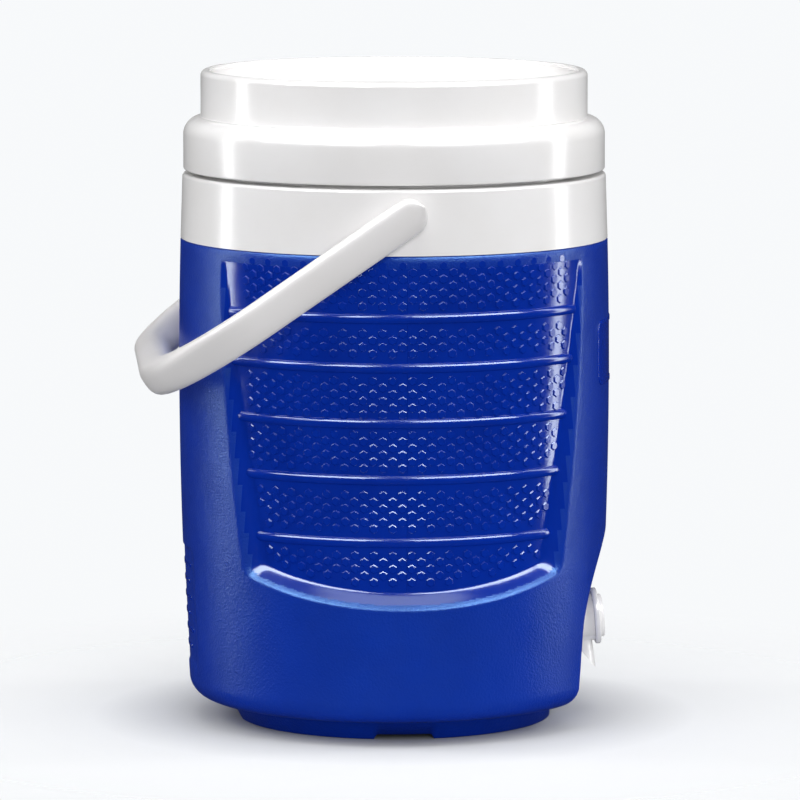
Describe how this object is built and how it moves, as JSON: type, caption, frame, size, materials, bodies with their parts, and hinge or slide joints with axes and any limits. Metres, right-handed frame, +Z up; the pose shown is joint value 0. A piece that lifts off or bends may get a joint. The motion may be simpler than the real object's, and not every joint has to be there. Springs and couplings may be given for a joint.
{
  "type": "beverage dispenser",
  "caption": "round insulated jug with a double-walled body, screw lid with sunken top, swing-up bail and a push-button spigot in a front recess",
  "frame": {"origin": "on the jug's vertical axis, in the plane that its foot ring stands on", "axes": "+Z up along the jug's axis, -Y the front where the spigot is, +Y the back where the bail rests, X along the bail's pivots"},
  "size_m": [0.256, 0.2659, 0.3627],
  "materials": {
    "shell_plastic": "satin",
    "foam": "matte",
    "liner_plastic": "satin",
    "white_plastic": "gloss",
    "bail_plastic": "satin",
    "spigot_plastic": "gloss",
    "silicone": "matte",
    "spring_steel": "satin"
  },
  "bodies": {
    "jug": {"outer_shell": "shell_plastic", "foam_insulation": "foam", "inner_liner": "liner_plastic", "neck_collar": "white_plastic", "base_plug": "shell_plastic", "bail_pivot_left": "bail_plastic", "bail_pivot_right": "bail_plastic", "spigot_body": "spigot_plastic", "spigot_gasket": "silicone", "spigot_washer": "silicone", "spigot_nut": "spigot_plastic", "button_surround": "spigot_plastic", "button_spring": "spring_steel", "stem_guide": "spigot_plastic", "stem_ring": "silicone"},
    "bail": {"bail_handle": "bail_plastic"},
    "gasket": {"lid_gasket": "silicone"},
    "lid": {"lid_cap": "white_plastic", "lid_underside": "liner_plastic", "lid_foam": "foam"},
    "button": {"push_button": "spigot_plastic", "valve_stem": "spigot_plastic", "valve_seal": "silicone", "seal_clip": "spigot_plastic"}
  },
  "joints": [
    {"name": "bail_swing", "type": "hinge", "parent": "jug", "child": "bail", "pos_m": [0, 0, 0.2911], "axis": [1, 0, 0], "range_deg": [0, 248]},
    {"name": "lid_lift", "type": "slide", "parent": "jug", "child": "gasket", "axis": [0, 0, 1], "range_m": [0, 0.0401]},
    {"name": "lid_turn", "type": "hinge", "parent": "gasket", "child": "lid", "pos_m": [0, 0, 0.335], "axis": [0, 0, 1], "range_deg": [0, 300]},
    {"name": "button_press", "type": "slide", "parent": "jug", "child": "button", "axis": [0, 0.9956, -0.0941], "range_m": [0, 0.0035], "stiffness_N_per_m": 400, "springref_m": -0.002, "deforming": ["button_spring"]}
  ],
  "couplings": [
    {"joint": "lid_lift", "follows": "lid_turn", "m_per_rad": 0.0076394}
  ]
}
